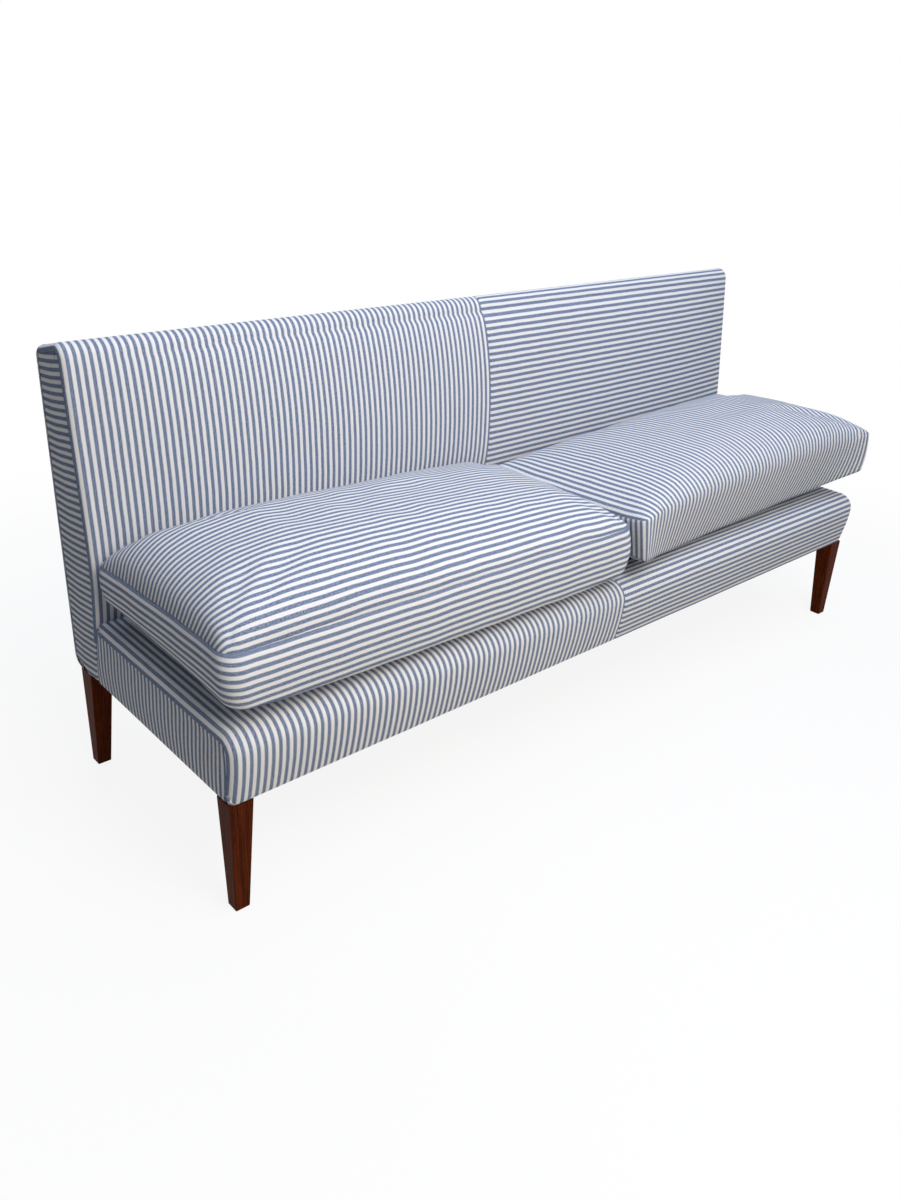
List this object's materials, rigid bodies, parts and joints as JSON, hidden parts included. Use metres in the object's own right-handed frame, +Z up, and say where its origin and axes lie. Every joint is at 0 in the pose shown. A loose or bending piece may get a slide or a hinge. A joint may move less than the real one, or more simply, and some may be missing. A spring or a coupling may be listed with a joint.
{
  "type": "banquette",
  "caption": "Armless upholstered bench seat with a straight padded back, a padded deck, loose box cushions and tapered wooden legs, covered in ticking stripe.",
  "frame": {"origin": "on the floor, under the middle of the bench's box", "axes": "+X along the bench to the right as seen from the front, +Y towards the back, +Z up"},
  "size_m": [1.8, 0.5832, 0.8148],
  "materials": {
    "beech_frame": "planed, unfinished",
    "stained_wood": "dark red-brown stain, satin",
    "zinc_steel": "zinc plated",
    "zip_metal": "plated",
    "nylon": "smooth",
    "jute_webbing": "woven",
    "hessian": "open weave",
    "foam": "soft foam",
    "wadding": "soft fibre",
    "dust_cloth": "black non-woven cloth",
    "zip_cloth": "woven tape",
    "ticking_upright": "blue and off-white ticking stripe running up or front to back",
    "ticking_lengthwise": "blue and off-white ticking stripe running along the bench"
  },
  "bodies": {
    "bench": {"back_cover_left": "ticking_upright", "back_cover_right": "ticking_lengthwise", "back_end_cover_left": "ticking_upright", "back_end_cover_right": "ticking_upright", "back_foam": "foam", "back_lower_rail_left": "beech_frame", "back_lower_rail_right": "beech_frame", "back_post_centre": "beech_frame", "back_post_left": "beech_frame", "back_post_right": "beech_frame", "back_top_rail": "beech_frame", "back_top_wadding": "wadding", "back_webbing": "jute_webbing", "centre_cross_rail": "beech_frame", "corner_block_front_left": "beech_frame", "corner_block_front_right": "beech_frame", "corner_block_rear_left": "beech_frame", "corner_block_rear_right": "beech_frame", "deck_cover_left": "ticking_upright", "deck_cover_right": "ticking_lengthwise", "deck_end_cover_left": "ticking_upright", "deck_end_cover_right": "ticking_upright", "dust_sheet": "dust_cloth", "end_rail_left": "beech_frame", "end_rail_right": "beech_frame", "front_border_wadding": "wadding", "front_rail": "beech_frame", "glide_front_left": "nylon", "glide_front_right": "nylon", "glide_rear_left": "nylon", "glide_rear_right": "nylon", "hanger_bolt_front_left": "zinc_steel", "hanger_bolt_front_right": "zinc_steel", "hanger_bolt_rear_left": "zinc_steel", "hanger_bolt_rear_right": "zinc_steel", "leg_front_left": "stained_wood", "leg_front_right": "stained_wood", "leg_plate_front_left": "zinc_steel", "leg_plate_front_right": "zinc_steel", "leg_plate_rear_left": "zinc_steel", "leg_plate_rear_right": "zinc_steel", "leg_rear_left": "stained_wood", "leg_rear_right": "stained_wood", "outside_back_cover": "ticking_upright", "outside_back_wadding": "wadding", "rear_rail": "beech_frame", "seat_foam": "foam", "seat_hessian": "hessian", "seat_webbing": "jute_webbing"},
    "cushion_left": {"cushion_core_left": "foam", "cushion_cover_left": "ticking_lengthwise", "zip_tape_left": "zip_cloth"},
    "cushion_right": {"cushion_core_right": "foam", "cushion_cover_right": "ticking_upright", "zip_tape_right": "zip_cloth"},
    "zip_pull_left": {"zip_slider_left": "zip_metal"},
    "zip_pull_right": {"zip_slider_right": "zip_metal"}
  },
  "joints": [
    {"name": "left_cushion_lift", "type": "slide", "parent": "bench", "child": "cushion_left", "axis": [0, 0, 1], "range_m": [0, 0.45]},
    {"name": "right_cushion_lift", "type": "slide", "parent": "bench", "child": "cushion_right", "axis": [0, 0, 1], "range_m": [0, 0.45]},
    {"name": "left_zip_slide", "type": "slide", "parent": "cushion_left", "child": "zip_pull_left", "axis": [1, 0, 0], "range_m": [0, 0.585]},
    {"name": "right_zip_slide", "type": "slide", "parent": "cushion_right", "child": "zip_pull_right", "axis": [1, 0, 0], "range_m": [0, 0.585]}
  ]
}
